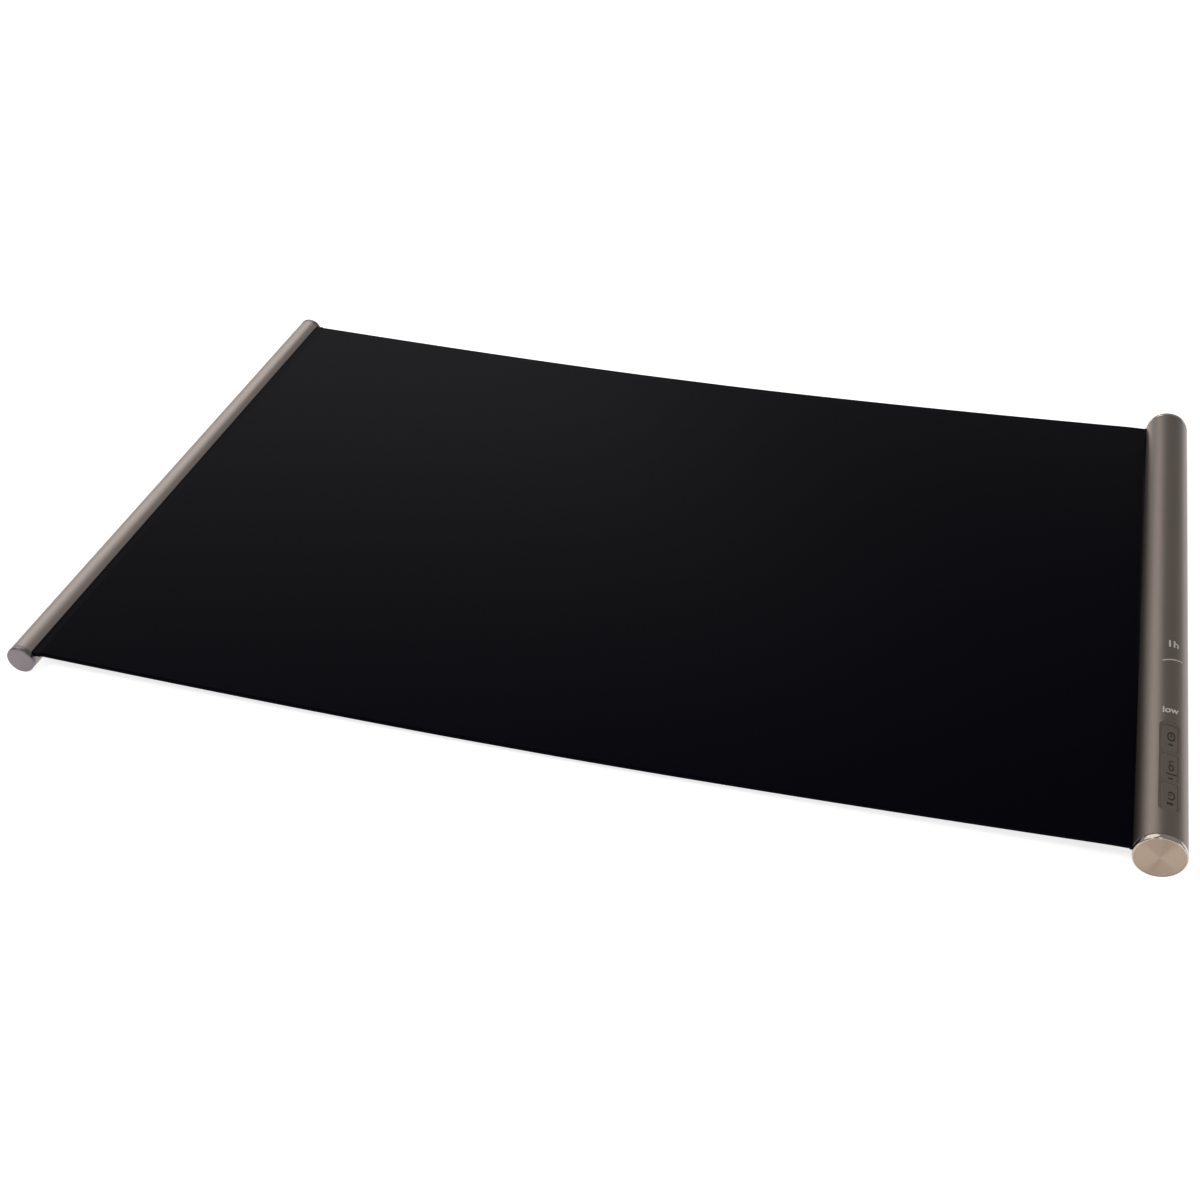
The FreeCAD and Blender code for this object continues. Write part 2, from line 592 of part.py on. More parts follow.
def end_screws():
    """Two cross-headed screws up through the tube's underside into the end plugs."""
    screws = []
    low, high = SCREW_HEAD_Z
    drive_z = (low - THROUGH, low + DRIVE_DEPTH)
    for y in (-SCREW_Y, SCREW_Y):
        head = post(SCREW_HEAD_RADIUS, low, high, 0, y)
        shank = post(SCREW_SHANK_RADIUS, high, high + SCREW_LENGTH - FIT_GAP, 0, y)
        screw = head.fuse(shank)
        for across, along in ((DRIVE_HALF_LENGTH, DRIVE_HALF_WIDTH), (DRIVE_HALF_WIDTH, DRIVE_HALF_LENGTH)):
            screw = screw.cut(box((-across, across), (y - along, y + along), drive_z))
        screws.append(to_control(screw, 0))
    export("end_screws", Part.makeCompound(screws))


def heater_leads():
    """Two short stiff leads from the mat's hem, across and then up to the board."""
    start_x = CONTROL_BEAD_X - CONTROL_X + CONTROL_BEAD_RADIUS
    turn_end_x = HEATER_LEAD_TURN_X + HEATER_LEAD_RADIUS
    top = BOARD_UNDER - HEATER_LEAD_TOP_GAP
    leads = []
    for y in HEATER_LEAD_Y:
        across = Part.makeCylinder(HEATER_LEAD_RADIUS, turn_end_x - start_x, V(start_x, y, 0), V(1, 0, 0))
        up = post(HEATER_LEAD_RADIUS, -HEATER_LEAD_RADIUS, top, HEATER_LEAD_TURN_X, y)
        leads.append(to_control(join([across, up]), 0))
    export("heater_leads", Part.makeCompound(leads))


def grip():
    """Slim steel tube at the far end of the mat, slotted for the bead, with a flat cap at each end."""
    low = MAT_LEFT_Z - GRIP_Z - SLOT_CLEARANCE
    slot_z = (low, low + MAT_THICKNESS + 2 * SLOT_CLEARANCE)
    ends = (-TUBE_END, TUBE_END)
    tube = rod(GRIP_RADIUS, *ends).cut(rod(GRIP_BORE, *ends)).cut(box(GRIP_SLOT_X, ends, slot_z))
    tube.translate(V(GRIP_X, 0, GRIP_Z))
    export("grip_tube", tube)
    bead_x, bead_z = GRIP_BEAD_X - GRIP_X, GRIP_BEAD_Z - GRIP_Z
    web_z = (slot_z[0] - SLOT_CLEARANCE, slot_z[1] + SLOT_CLEARANCE)
    for name, way in (("front", -1.0), ("back", 1.0)):
        outer, inner = way * TUBE_LENGTH / 2, way * TUBE_END
        reach = sorted((inner, inner - way * GRIP_PLUG_DEPTH))
        plug = rod(GRIP_BORE - FIT_GAP, *reach)
        plug = plug.cut(rod(GRIP_BEAD_RADIUS + GRIP_BEAD_ROOM, *reach, bead_x, bead_z))
        plug = plug.cut(box((bead_x, GRIP_SLOT_X[1]), reach, web_z))
        cap = join([cap_ring(GRIP_RADIUS, 0.0, outer, inner), plug])
        cap.translate(V(GRIP_X, 0, GRIP_Z))
        export(f"grip_cap_{name}", cap)


bend_lines = strip_edges()
print("bend lines:", [(round(x + TO_CENTRE, 6), round(z, 6)) for x, z in bend_lines])
mat_strips(bend_lines)
control_hem()
control_tube()
key_tray()
keys()
circuit()
light_guide()
board_carrier()
control_caps()
mains_inlet()
end_screws()
heater_leads()
grip()
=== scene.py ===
import json
from math import asin, cos, degrees, pi, radians, sin

import bmesh
import bpy
from mathutils import Matrix, Vector

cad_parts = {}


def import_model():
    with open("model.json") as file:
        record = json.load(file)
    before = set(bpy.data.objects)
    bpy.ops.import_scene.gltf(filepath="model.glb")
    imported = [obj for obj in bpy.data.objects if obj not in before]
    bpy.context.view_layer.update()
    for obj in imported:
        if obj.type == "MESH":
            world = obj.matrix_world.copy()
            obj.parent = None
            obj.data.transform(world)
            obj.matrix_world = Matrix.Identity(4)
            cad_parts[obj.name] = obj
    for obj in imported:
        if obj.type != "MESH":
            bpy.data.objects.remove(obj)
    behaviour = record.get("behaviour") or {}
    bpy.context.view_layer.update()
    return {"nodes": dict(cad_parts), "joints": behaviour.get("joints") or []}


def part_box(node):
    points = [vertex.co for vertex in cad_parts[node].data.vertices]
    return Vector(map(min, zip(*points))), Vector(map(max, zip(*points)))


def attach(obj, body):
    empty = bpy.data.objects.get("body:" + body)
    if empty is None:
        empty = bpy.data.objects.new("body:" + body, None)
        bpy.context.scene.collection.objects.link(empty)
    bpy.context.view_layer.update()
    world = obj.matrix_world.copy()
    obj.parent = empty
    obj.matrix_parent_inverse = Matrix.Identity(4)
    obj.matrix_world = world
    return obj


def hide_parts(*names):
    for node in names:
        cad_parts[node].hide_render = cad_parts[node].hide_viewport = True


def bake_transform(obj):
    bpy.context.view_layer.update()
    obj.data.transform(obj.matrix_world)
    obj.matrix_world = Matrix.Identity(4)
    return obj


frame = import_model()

# A flexible silicone warming mat held between two steel tubes, dressed for the camera.
# Everything is in metres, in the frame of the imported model. MM turns a size in millimetres.
MM = 0.001

# Mat
MAT_THICKNESS = 2.5 * MM
MAT_DEPTH = 393 * MM
MAT_EDGE = 0.9 * MM
MAT_LEVEL_X = -18.683 * MM
MAT_LEVEL_HALF = 20.7 * MM
MAT_RIGHT_X = 274.65 * MM
MAT_LEFT_X = -291.35 * MM
MAT_LOW_Z = 4.5 * MM
MAT_RIGHT_Z = 11.45 * MM
MAT_LEFT_Z = 10.1 * MM
MAT_CURVE_POWER = 1.6
MAT_SLOT_X = 284.0 * MM
MAT_SOFTENING = 5.0 * MM
DIVISIONS_A_BEND = 18
LAP = 1.0 * MM
LAP_UNDER = 0.1 * MM

# Tubes: walls, slots and openings
TUBE_HALF = 196.8 * MM
CONTROL_WALL = 0.9 * MM
GRIP_WALL = 0.8 * MM
SLOT_HALF = 1.45 * MM
GRIP_SLOT_LOW = 1.9 * MM
GRIP_SLOT_HIGH = 4.8 * MM
# Degrees of wall in one flat strip of a tube
STRIP_OF_WALL = 2.0
# An edge is on the outer face within this share of the wall, and a rim if it turns more than this, in radians
LEVEL_SHARE = 0.01
CORNER_ANGLE = 1
# Edges sharper than this stay crisp
SHARP_DEGREES = 32
SCREW_Y = 190 * MM
SCREW_HOLE = 2.0 * MM

# Control face, in the recess near the front end
# Angles round a tube are in degrees from the X axis
FACE_ANGLE = 80.0
RECESS_Y = -147.0 * MM
RECESS_LENGTH = 66.0 * MM
RECESS_HALF_WIDTH = 5.3 * MM
RECESS_CORNER = 3.0 * MM
RECESS_RIM = 0.2 * MM
TRIM_TOP = 11.18 * MM
TRIM_SKIN = 0.05 * MM
TRIM_DEPTH = 0.15 * MM
TRIM_GAP = 0.1 * MM
SCOOP_FAR = 7.0 * MM
SCOOP_NEAR = 2.6 * MM
SCOOP_SIDE = 1.0 * MM
KEY_TOP = 11.25 * MM
KEY_CAP = (8.2 * MM, 19.0 * MM)
KEY_CORNER = 1.8 * MM
KEY_LEDGE = 0.8 * MM
KEY_LEVELS = (8.1 * MM, 8.9 * MM)
KEY_STEM = (1.2 * MM, 6.9 * MM)
KEY_STEM_OVERLAP = 0.2 * MM
KEY_EDGE = 0.25 * MM
KEY_TOP_DEPTH = 0.3 * MM
PRINT_HEIGHT = 0.03 * MM
KEY_PLACES = {"power": -168.5 * MM, "heat": -147.0 * MM, "timer": -125.5 * MM}
STROKE = 0.6 * MM
SIGN_REACH = 9 * MM
MARK_STEP = 0.25 * MM
LETTER_BOLDNESS = 0.025

# Ends of the tubes: the front disc sits in a pocket of its collar, over the plug's bore
CAP_OUTER = 200 * MM
COLLAR_GAP = 0.35 * MM
COLLAR_SINK = 0.45 * MM
COLLAR_EDGE = 0.75 * MM
COLLAR_GAP_EDGE = 0.12 * MM
DISC_BORE = 12.1 * MM
DISC_RADIUS = 12.08 * MM
DISC_SET_BACK = 0.1 * MM
DISC_POCKET = 1.5 * MM
DISC_EDGE = 0.2 * MM
PLUG_BORE = 7.0 * MM
INLET_BORE = 11.2 * MM
CAP_GAP = 0.12 * MM
CAP_SINK = 0.3 * MM
CAP_EDGE = 0.8 * MM
CAP_GAP_EDGE = 0.05 * MM

# Floor and surroundings
FLOOR_HALF = 4.0
FLOOR_DROP = 0.05 * MM
FLOOR_GLOW = 0.76
WORLD_STRENGTH = 0.30
WORLD_SEEN_EXTRA = 0.08

# Camera
CAMERA_AT = Vector((200.1, -807.7, 581.2)) * MM
CAMERA_YAW = 0.2767
CAMERA_PITCH = 0.6392
CAMERA_ROLL = -0.0117
SENSOR = 36.0
LENS = 50.60


def axis_and_radius(node):
    """Where a round CAD node's axis runs, as (x, z), and its radius."""
    low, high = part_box(node)
    return (low.x + high.x) / 2, (low.z + high.z) / 2, (high.z - low.z) / 2


CONTROL_X, CONTROL_Z, CONTROL_RADIUS = axis_and_radius("control_tube")
GRIP_X, GRIP_Z, GRIP_RADIUS = axis_and_radius("grip_tube")


# Materials


def colour(code):
    """An sRGB hex colour as the linear colour that a shader takes."""
    parts = [int(code[i : i + 2], 16) / 255 for i in (1, 3, 5)]
    linear = [c / 12.92 if c <= 0.04045 else ((c + 0.055) / 1.055) ** 2.4 for c in parts]
    return (*linear, 1.0)


def add(tree, kind, settings=None, links=None):
    """Adds a node, with its settings, and its sockets set to a value or joined to another socket."""
    made = tree.nodes.new(kind)
    for name, value in (settings or {}).items():
        setattr(made, name, value)
    for name, value in (links or {}).items():
        if isinstance(value, bpy.types.NodeSocket):
            tree.links.new(value, made.inputs[name])
        else:
            made.inputs[name].default_value = value
    return made


def blank(name):
    """A material with an empty tree, its output, and Object coordinates."""
    made = bpy.data.materials.new(name)
    made.use_nodes = True
    tree = made.node_tree
    tree.nodes.clear()
    place = add(tree, "ShaderNodeTexCoord").outputs["Object"]
    return made, tree, place


def close(made, tree, shader):
    """Joins the shader to the material's output."""
    add(tree, "ShaderNodeOutputMaterial", links={"Surface": shader})
    return made


def grain(tree, place, size, stretch=(1, 1, 1), detail=3.0):
    """Noise whose grains are the given size across, drawn out along an axis by a stretch."""
    scale = [1 / (size * part) for part in stretch]
    laid = add(tree, "ShaderNodeMapping", links={"Vector": place, "Scale": scale})
    return add(
        tree,
        "ShaderNodeTexNoise",
        links={"Vector": laid.outputs["Vector"], "Scale": 1.0, "Detail": detail, "Roughness": 0.55},
    ).outputs["Fac"]


def between(tree, fac, low, high):
    """A number that runs from low to high as a pattern does."""
    return add(
        tree,
        "ShaderNodeMapRange",
        links={"Value": fac, "From Min": 0.3, "From Max": 0.7, "To Min": low, "To Max": high},
    ).outputs["Result"]


def tinted(tree, fac, first, second):
    """A colour that wanders between two hex colours as a pattern does."""
    mix = add(tree, "ShaderNodeMix", {"data_type": "RGBA"}, {0: fac, 6: colour(first), 7: colour(second)})
    return mix.outputs[2]


def surface(name, first, second, size, rough, bump, metallic=0.0, stretch=(1, 1, 1), extra=None):
    """A finish with a fine grain: its colour, gloss and height all wander with the same pattern."""
    made, tree, place = blank(name)
    fac = grain(tree, place, size, stretch)
    height = add(
        tree, "ShaderNodeBump", links={"Height": fac, "Strength": bump[0], "Distance": bump[1]}
    ).outputs["Normal"]
    values = {
        "Base Color": tinted(tree, fac, first, second),
        "Metallic": metallic,
        "Roughness": between(tree, fac, *rough),
        "Normal": height,
        **(extra or {}),
    }
    shader = add(tree, "ShaderNodeBsdfPrincipled", links=values)
    return close(made, tree, shader.outputs[0])


def silicone_rubber():
    """Silicone rubber pressed between smooth plates: nearly black, satin, with a very fine even bloom."""
    return surface(
        "silicone_rubber_pressed",
        "#04030b",
        "#05040c",
        0.6 * MM,
        (0.38, 0.44),
        (0.05, 0.02 * MM),
        extra={"Specular IOR Level": 0.022},
    )


def steel_brushed():
    """Stainless steel drawn and satin brushed along its length: a warm taupe grey with faint long lines."""
    return surface(
        "stainless_steel_brushed_taupe",
        "#7c726b",
        "#827871",
        0.12 * MM,
        (0.36, 0.46),
        (0.08, 0.02 * MM),
        metallic=1.0,
        stretch=(1, 160, 1),
    )


def steel_brushed_painted_lighter():
    """The same brushed steel painted a paler grey, as painted light that makes the slim tube look more
    brightly lit; a little rougher, so softer.
    """
    return surface(
        "stainless_steel_brushed_painted_lighter",
        "#9c918c",
        "#a29792",
        0.12 * MM,
        (0.38, 0.48),
        (0.08, 0.02 * MM),
        metallic=1.0,
        stretch=(1, 160, 1),
    )


def steel_spun():
    """Stainless steel turned on a lathe: light champagne, its rings spreading the light into a fan."""
    made, tree, place = blank("stainless_steel_spun_champagne")
    centre = add(
        tree, "ShaderNodeMapping", links={"Vector": place, "Location": (-CONTROL_X, 0, -CONTROL_Z)}
    ).outputs["Vector"]
    rings = add(
        tree,
        "ShaderNodeTexWave",
        {"wave_type": "RINGS", "rings_direction": "Y"},
        {"Vector": centre, "Scale": 1 / (1.2 * MM), "Distortion": 0.8, "Detail": 2.0, "Detail Scale": 3.0},
    ).outputs["Fac"]
    height = add(
        tree, "ShaderNodeBump", links={"Height": rings, "Strength": 0.12, "Distance": 0.02 * MM}
    ).outputs["Normal"]
    turned = add(tree, "ShaderNodeTangent", {"direction_type": "RADIAL", "axis": "Y"}).outputs[0]
    shader = add(
        tree,
        "ShaderNodeBsdfPrincipled",
        links={
            "Base Color": tinted(tree, rings, "#ab9888", "#b09d8d"),
            "Metallic": 1.0,
            "Roughness": 0.48,
            "Anisotropic": 0.9,
            "Anisotropic Rotation": 0.25,
            "Tangent": turned,
            "Normal": height,
        },
    )
    return close(made, tree, shader.outputs[0])


def steel_polished():
    """Stainless steel turned and polished: a bright collar, crisp reflections, a few fine scratches."""
    return surface(
        "stainless_steel_polished",
        "#b3a79d",
        "#b9ada4",
        0.5 * MM,
        (0.12, 0.17),
        (0.02, 0.01 * MM),
        metallic=1.0,
        stretch=(1, 6, 1),
    )


def steel_satin_cap():
    """Stainless steel faced flat and bead blasted: an even matt pinkish grey."""
    return surface(
        "stainless_steel_blasted",
        "#787073",
        "#7d7578",
        0.25 * MM,
        (0.30, 0.38),
        (0.10, 0.02 * MM),
        metallic=1.0,
    )


def abs_metallic_key():
    """ABS moulded in a metal colour and lacquered satin: taupe, with a very fine flake."""
    return surface(
        "abs_lacquered_taupe", "#70665f", "#796f68", 0.15 * MM, (0.38, 0.46), (0.05, 0.01 * MM), metallic=0.55
    )


def abs_metallic_tray():
    """ABS moulded in a metal colour, spark-eroded texture: the keys' taupe, a little duller."""
    return surface(
        "abs_moulded_taupe", "#6e645e", "#766c66", 0.3 * MM, (0.40, 0.50), (0.10, 0.02 * MM), metallic=0.55
    )


def plain_finishes():
    """The finishes of what is held inside the tubes and the mat, each by the record's slot."""
    return {
        # ABS moulded black with a light spark texture: even dark grey, softly matt
        "inner_plastic": surface(
            "abs_moulded_black", "#151517", "#1c1c1f", 0.4 * MM, (0.5, 0.6), (0.15, 0.03 * MM),
        ),
        # glass epoxy laminate under green solder mask: glossy, the weave showing faintly
        "board_laminate": surface(
            "glass_epoxy_green_mask", "#12492a", "#1a5a35", 0.5 * MM, (0.25, 0.35),
            (0.1, 0.02 * MM),
        ),
        # moulding epoxy of chips and switches: black, dry and slightly speckled
        "component_black": surface(
            "epoxy_moulded_black", "#141416", "#202022", 0.12 * MM, (0.55, 0.7), (0.2, 0.02 * MM),
        ),
        # PBT relay case: glossy blue moulding
        "relay_case": surface(
            "pbt_moulded_blue", "#214a92", "#2852a0", 0.8 * MM, (0.22, 0.3), (0.04, 0.02 * MM),
        ),
        # PBT film capacitor case: warm yellow, semi-gloss
        "capacitor_case": surface(
            "pbt_moulded_yellow", "#d9a81f", "#e2b22a", 0.6 * MM, (0.3, 0.4), (0.05, 0.02 * MM),
        ),
        # nylon terminal block and light lenses: milky white, soft gloss
        "lamp_white": surface(
            "lamp_lens_milky", "#ece9dc", "#f4f2e8", 0.3 * MM, (0.28, 0.36), (0.03, 0.01 * MM),
        ),
        # silicone-sleeved wire: brick red, rubbery
        "wire_sleeve": surface(
            "silicone_sleeve_red", "#8e241c", "#9a2c22", 0.5 * MM, (0.5, 0.6), (0.05, 0.02 * MM),
        ),
        # nickel-plated brass pins: warm pale metal, drawn smooth
        "pin_brass": surface(
            "brass_nickel_plated", "#c9bb9a", "#d3c6a7", 0.2 * MM, (0.2, 0.28), (0.03, 0.01 * MM),
            metallic=1.0,
        ),
        # stainless spring steel snap domes: bright, faint stamping grain
        "dome_steel": surface(
            "spring_steel_stamped", "#b9b9b7", "#c4c4c2", 0.1 * MM, (0.22, 0.3), (0.05, 0.01 * MM),
            metallic=1.0,
        ),
        # zinc-plated screws: cool light grey
        "screw_steel": surface(
            "steel_zinc_plated", "#a4a5a8", "#b1b2b5", 0.2 * MM, (0.28, 0.38), (0.06, 0.01 * MM),
            metallic=1.0,
        ),
        # drawn steel hem rods: plain mid grey
        "rod_steel": surface(
            "steel_drawn", "#8d8e90", "#999a9c", 0.15 * MM, (0.3, 0.42), (0.06, 0.01 * MM),
            metallic=1.0, stretch=(1, 40, 1),
        ),
        # etched resistance foil: thin pale metal, slightly mottled by the etch
        "heating_foil": surface(
            "resistance_foil_etched", "#aaa69c", "#bcb8ae", 0.8 * MM, (0.35, 0.5),
            (0.06, 0.01 * MM), metallic=1.0,
        ),
        # glass fuse and its ends: clear and glossy
        "fuse_glass": surface(
            "glass_tube_clear", "#d5dad8", "#dde2e0", 1.0 * MM, (0.05, 0.1), (0.02, 0.01 * MM),
            extra={"Alpha": 0.6},
        ),
        # PMMA light guide: water-clear with polished faces
        "light_guide_clear": surface(
            "pmma_clear_polished", "#e6e8e6", "#eceeec", 2.0 * MM, (0.06, 0.1), (0.01, 0.01 * MM),
            extra={"Transmission Weight": 0.85, "IOR": 1.49},
        ),
    }


def ink(name, first, second):
    """Pad-printed ink: a thin matt film with slightly uneven cover."""
    return surface(name, first, second, 0.2 * MM, (0.5, 0.6), (0.05, 0.01 * MM))


FINISHES = plain_finishes()
FINISHES.update(
    {
        "mat_silicone": silicone_rubber(),
        "tube_steel": steel_brushed(),
        "spun_disc": steel_spun(),
        "cap_chrome": steel_polished(),
        "key_plastic": abs_metallic_key(),
        "tray_plastic": abs_metallic_tray(),
    }
)
FLAT_CAP = steel_satin_cap()
# The slim tube's steel is a paler copy of the brushed steel: painted light.
STEEL_PAINTED_LIGHTER = steel_brushed_painted_lighter()
DARK_INK = ink("pad_ink_dark_brown", "#1d1918", "#26211e")
PALE_INK = ink("pad_ink_pale_grey", "#cdc8c3", "#d8d3ce")


def dress_cad_nodes():
    """Gives each CAD node that stays the finish of its slot."""
    for node in frame["nodes"].values():
        for place in node.material_slots:
            name = place.material.name.split(".")[0]
            if name in FINISHES:
                place.material = FINISHES[name]
            else:
                print("no finish for", node.name, name)


# Shapes


def finish_piece(name, bm, finish, body=None, slot=None, replaces=()):
    """Turns a bmesh into a smooth-shaded object with one finish, and has it ride on its body."""
    mesh = bpy.data.meshes.new(name)
    bm.to_mesh(mesh)
    bm.free()
    mesh.shade_smooth()
    mesh.set_sharp_from_angle(angle=radians(SHARP_DEGREES))
    piece = bpy.data.objects.new(name, mesh)
    bpy.context.scene.collection.objects.link(piece)
    mesh.materials.append(finish)
    if body:
        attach(piece, body)
    if replaces:
        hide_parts(*replaces)
    return piece


def cut_across(bm, axis, places):
    """Cuts the whole mesh at several places along an axis, so that it can bend there."""
    normal = Vector((0, 0, 0))
    normal[axis] = 1
    for place in places:
        geometry = bm.verts[:] + bm.edges[:] + bm.faces[:]
        bmesh.ops.bisect_plane(bm, geom=geometry, plane_co=normal * place, plane_no=normal, dist=1e-7)


def soften(bm, edges, size, segments):
    """Rounds edges to a size."""
    bmesh.ops.bevel(
        bm, geom=edges, offset=size, segments=segments, profile=0.5, affect="EDGES", material=-1
    )


def upward_face(bm):
    """Fills the drawn edges with one flat face that looks up."""
    bmesh.ops.triangle_fill(bm, edges=bm.edges[:], use_beauty=True, use_dissolve=False)
    bmesh.ops.recalc_face_normals(bm, faces=bm.faces[:])
    if bm.faces[0].normal.z < 0:
        bmesh.ops.reverse_faces(bm, faces=bm.faces[:])


def spaced(start, end, count):
    """The inner places that divide a length into equal parts."""
    return [start + (end - start) * i / count for i in range(1, count)]


def wrap(bm, radius, x, z, start_angle):
    """Rolls a flat mesh round an axis along Y. Its X runs clockwise from the start angle, its Z outwards."""
    for v in bm.verts:
        angle = radians(start_angle) - v.co.x / radius
        reach = radius + v.co.z
        v.co = Vector((x + reach * cos(angle), v.co.y, z + reach * sin(angle)))


def outline(bm, width, length, corner, x, y):
    """Adds the edges of a rounded rectangle, or of a circle where the corner is half its width."""
    if corner * 2 >= width:
        made = bmesh.ops.create_circle(bm, cap_ends=True, radius=width / 2, segments=32)
        bmesh.ops.translate(bm, vec=(x, y, 0), verts=made["verts"])
    else:
        made = bmesh.ops.create_grid(bm, x_segments=1, y_segments=1, size=0.5)
        bmesh.ops.scale(bm, vec=(width, length, 1), verts=made["verts"])
        bmesh.ops.translate(bm, vec=(x, y, 0), verts=made["verts"])
        if corner > 0:
            bmesh.ops.bevel(
                bm, geom=made["verts"], offset=corner, segments=8, profile=0.5, affect="VERTICES", material=-1
            )
    bmesh.ops.delete(bm, geom=bm.faces[:], context="FACES_ONLY")


def open_tube(name, radius, wall, x, z, angles, openings, finish, **rest):
    """A tube made as a flat sheet with its openings, given its wall, and rolled up to leave a slot."""
    start, end = angles
    width = radius * radians(start - end)
    bm = bmesh.new()
    outline(bm, width, 2 * TUBE_HALF, 0, width / 2, 0)
    for angle, y, across, along, corner in openings:
        outline(bm, across, along, corner, radius * radians(start - angle), y)
    upward_face(bm)
    bmesh.ops.solidify(bm, geom=bm.faces[:], thickness=wall)
    top = max(v.co.z for v in bm.verts)
    bmesh.ops.translate(bm, vec=(0, 0, -top), verts=bm.verts)
    outside = [e for e in bm.edges if max(abs(v.co.z) for v in e.verts) < wall * LEVEL_SHARE]
    rim = [e for e in outside if len(e.link_faces) == 2 and e.calc_face_angle(0) > CORNER_ANGLE]
    soften(bm, rim, RECESS_RIM, 3)
    columns = int((start - end) / STRIP_OF_WALL)
    cut_across(bm, 0, spaced(0, width, columns))
    wrap(bm, radius, x, z, start)
    piece = finish_piece(name, bm, finish, **rest)
    piece.modifiers.new("even shading", "WEIGHTED_NORMAL").keep_sharp = True
    return piece


def lathe(name, profile, x, z, finish, rounds=(), steps=128, **rest):
    """Turns (radius, y) points round an axis along Y, and rounds rings given as (radius, y, size)."""
    bm = bmesh.new()
    points = [bm.verts.new((radius, y, 0)) for radius, y in profile]
    for a, b in zip(points, points[1:] + points[:1]):
        if not (a.co.x < 1e-9 and b.co.x < 1e-9):
            bm.edges.new((a, b))
    bmesh.ops.spin(
        bm,
        geom=bm.verts[:] + bm.edges[:],
        cent=(0, 0, 0),
        axis=(0, 1, 0),
        dvec=(0, 0, 0),
        angle=2 * pi,
        steps=steps,
        use_merge=True,
        use_normal_flip=False,
        use_duplicate=False,
    )
    bmesh.ops.remove_doubles(bm, verts=bm.verts[:], dist=1e-6)
    for radius, y, size in rounds:
        ring = [
            e
            for e in bm.edges
            if all(abs(v.co.y - y) < 1e-6 and abs(v.co.xz.length - radius) < 1e-6 for v in e.verts)
        ]
        soften(bm, ring, size, 5)
    bmesh.ops.recalc_face_normals(bm, faces=bm.faces[:])
    bmesh.ops.translate(bm, vec=(x, 0, z), verts=bm.verts)
    return finish_piece(name, bm, finish, **rest)


# The mat


def plain_height(x):
    """Height of the mat's underside: a shallow hanging curve, level in its middle and past its ends."""
    if x > MAT_LEVEL_X:
        start, end, rise = MAT_LEVEL_X + MAT_LEVEL_HALF, MAT_RIGHT_X, MAT_RIGHT_Z - MAT_LOW_Z
    else:
        start, end, rise = MAT_LEVEL_X - MAT_LEVEL_HALF, MAT_LEFT_X, MAT_LEFT_Z - MAT_LOW_Z
    share = min(1.0, max(0.0, (x - start) / (end - start)))
    return MAT_LOW_Z + rise * share**MAT_CURVE_POWER


def mat_height(x):
    """The same curve with its changes of slope spread over a short length, as a thick sheet bends."""
    samples = [plain_height(x + MAT_SOFTENING * part) for part in (-1, -0.5, 0, 0.5, 1)]
    return sum(samples) / len(samples)


def pulled(bm, face, offset):
    """Pulls a flat face out by an offset and gives back the face at its end."""
    grown = bmesh.ops.extrude_face_region(bm, geom=[face])["geom"]
    bmesh.ops.translate(bm, vec=offset, verts=[v for v in grown if isinstance(v, bmesh.types.BMVert)])
    bmesh.ops.delete(bm, geom=[face], context="FACES_ONLY")
    return next(f for f in grown if isinstance(f, bmesh.types.BMFace))


def mat_piece(name, right, left, laps=(), **rest):
    """A stretch of the mat, soft at front and back. A lap is a thinner tongue inside the next stretch."""
    bm = bmesh.new()
    bmesh.ops.create_cube(bm, size=1)
    bmesh.ops.scale(bm, vec=(right - left, MAT_DEPTH, MAT_THICKNESS), verts=bm.verts)
    bmesh.ops.translate(bm, vec=((right + left) / 2, 0, MAT_THICKNESS / 2), verts=bm.verts)
    long_edges = [e for e in bm.edges if abs(e.verts[0].co.x - e.verts[1].co.x) > (right - left) / 2]
    soften(bm, long_edges, MAT_EDGE, 4)
    for way in laps:
        end = max(bm.faces, key=lambda face: way * face.calc_center_median().x)
        bmesh.ops.inset_individual(bm, faces=[end], thickness=LAP_UNDER, use_even_offset=True)
        pulled(bm, end, (way * LAP, 0, 0))
    cut_across(bm, 0, spaced(left, right, DIVISIONS_A_BEND))
    for v in bm.verts:
        v.co.z += mat_height(v.co.x)
    return finish_piece(name, bm, FINISHES["mat_silicone"], slot="mat_silicone", **rest)


def foil_piece(name, nodes, right, left):
    """The heating foil's share of the same stretch, taken from the CAD foil on each side of the bend."""
    bm = bmesh.new()
    for node in nodes:
        bm.from_mesh(frame["nodes"][node].data)
    bmesh.ops.remove_doubles(bm, verts=bm.verts[:], dist=1e-6)
    for place, way in ((right, 1), (left, -1)):
        geometry = bm.verts[:] + bm.edges[:] + bm.faces[:]
        bmesh.ops.bisect_plane(
            bm, geom=geometry, plane_co=(place, 0, 0), plane_no=(way, 0, 0), clear_outer=True, dist=1e-7
        )
    cut_across(bm, 0, spaced(left, right, DIVISIONS_A_BEND))
    return finish_piece(name, bm, FINISHES["heating_foil"], slot="heating_foil")


def kept_part(name, node, place, way, finish, **rest):
    """A copy of a CAD node as far as a plane, closed where it is cut."""
    bm = bmesh.new()
    bm.from_mesh(frame["nodes"][node].data)
    bmesh.ops.remove_doubles(bm, verts=bm.verts[:], dist=1e-6)
    geometry = bm.verts[:] + bm.edges[:] + bm.faces[:]
    cut = bmesh.ops.bisect_plane(bm, geom=geometry, plane_co=place, plane_no=way, clear_outer=True)
    rim = [e for e in cut["geom_cut"] if isinstance(e, bmesh.types.BMEdge)]
    bmesh.ops.triangle_fill(bm, edges=rim, use_beauty=True, use_dissolve=False)
    bmesh.ops.recalc_face_normals(bm, faces=bm.faces[:])
    return finish_piece(name, bm, finish, **rest)


